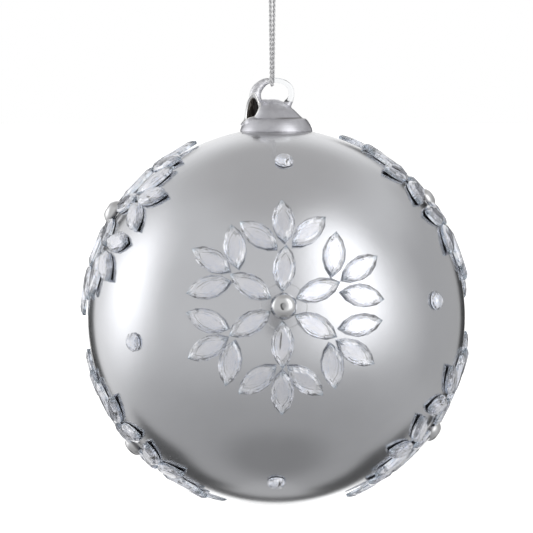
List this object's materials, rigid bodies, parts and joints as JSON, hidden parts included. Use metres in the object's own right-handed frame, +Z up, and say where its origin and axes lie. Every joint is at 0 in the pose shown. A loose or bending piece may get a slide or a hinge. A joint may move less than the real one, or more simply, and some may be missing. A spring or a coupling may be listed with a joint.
{
  "type": "glass ball ornament",
  "caption": "Silvered glass ball ornament with faceted-stone snowflakes, a fused glass crown and hook, and a looped metallic cord to hang it.",
  "frame": {"origin": "the hanging point: the inside of the top of the cord's eye, where a hanger bears", "axes": "+Z up along the cord, -Y the front that the whole snowflake faces, +X to the right of it"},
  "size_m": [0.1246, 0.1281, 0.191],
  "materials": {
    "silvered_glass": "satin silver lacquer over blown glass, opaque",
    "silvered_crown": "glossy silver lacquer over glass, opaque",
    "clear_glass": "clear, fire-polished",
    "clear_stone": "clear faceted acrylic, foil-backed, faint iridescence",
    "mirror_stone": "mirror-coated dome",
    "silver_thread": "two-ply twisted metallic thread"
  },
  "bodies": {
    "hanger_eye": {"cord_eye": "silver_thread"},
    "knot": {"cord_knot": "silver_thread"},
    "cord": {"cord_leg_left": "silver_thread", "cord_leg_right": "silver_thread"},
    "bight": {"cord_bight": "silver_thread"},
    "ornament": {"glass_ball": "silvered_glass", "glass_crown": "silvered_crown", "glass_hook": "clear_glass", "front_stone_inner_1": "clear_stone", "front_stone_inner_2": "clear_stone", "front_stone_inner_3": "clear_stone", "front_stone_inner_4": "clear_stone", "front_stone_inner_5": "clear_stone", "front_stone_inner_6": "clear_stone", "front_stone_tip_1": "clear_stone", "front_stone_tip_2": "clear_stone", "front_stone_tip_3": "clear_stone", "front_stone_tip_4": "clear_stone", "front_stone_tip_5": "clear_stone", "front_stone_tip_6": "clear_stone", "front_stone_left_1": "clear_stone", "front_stone_left_2": "clear_stone", "front_stone_left_3": "clear_stone", "front_stone_left_4": "clear_stone", "front_stone_left_5": "clear_stone", "front_stone_left_6": "clear_stone", "front_stone_right_1": "clear_stone", "front_stone_right_2": "clear_stone", "front_stone_right_3": "clear_stone", "front_stone_right_4": "clear_stone", "front_stone_right_5": "clear_stone", "front_stone_right_6": "clear_stone", "front_cabochon": "mirror_stone", "upper_left_snowflake": "clear_stone", "upper_right_snowflake": "clear_stone", "lower_left_snowflake": "clear_stone", "lower_right_snowflake": "clear_stone", "back_snowflake": "clear_stone", "upper_left_cabochon": "mirror_stone", "upper_right_cabochon": "mirror_stone", "lower_left_cabochon": "mirror_stone", "lower_right_cabochon": "mirror_stone", "back_cabochon": "mirror_stone", "round_stone_front_top": "clear_stone", "round_stone_front_left": "clear_stone", "round_stone_front_right": "clear_stone", "round_stone_front_bottom": "clear_stone", "round_stone_back_top": "clear_stone", "round_stone_back_left": "clear_stone", "round_stone_back_right": "clear_stone", "round_stone_back_bottom": "clear_stone"}
  },
  "joints": [
    {"name": "cord_pitch", "type": "hinge", "parent": "hanger_eye", "child": "knot", "pos_m": [0, 0, -0.016], "axis": [1, 0, 0], "range_deg": [-60, 60]},
    {"name": "cord_sway", "type": "hinge", "parent": "knot", "child": "cord", "pos_m": [0, 0, -0.016], "axis": [0, 1, 0], "range_deg": [-60, 60]},
    {"name": "ball_turn", "type": "hinge", "parent": "cord", "child": "bight", "pos_m": [0, 0, -0.055], "axis": [0, 0, 1], "range_deg": [-180, 180]},
    {"name": "ball_swing", "type": "hinge", "parent": "bight", "child": "ornament", "pos_m": [0, 0, -0.055], "axis": [1, 0, 0], "range_deg": [-75, 75]}
  ]
}
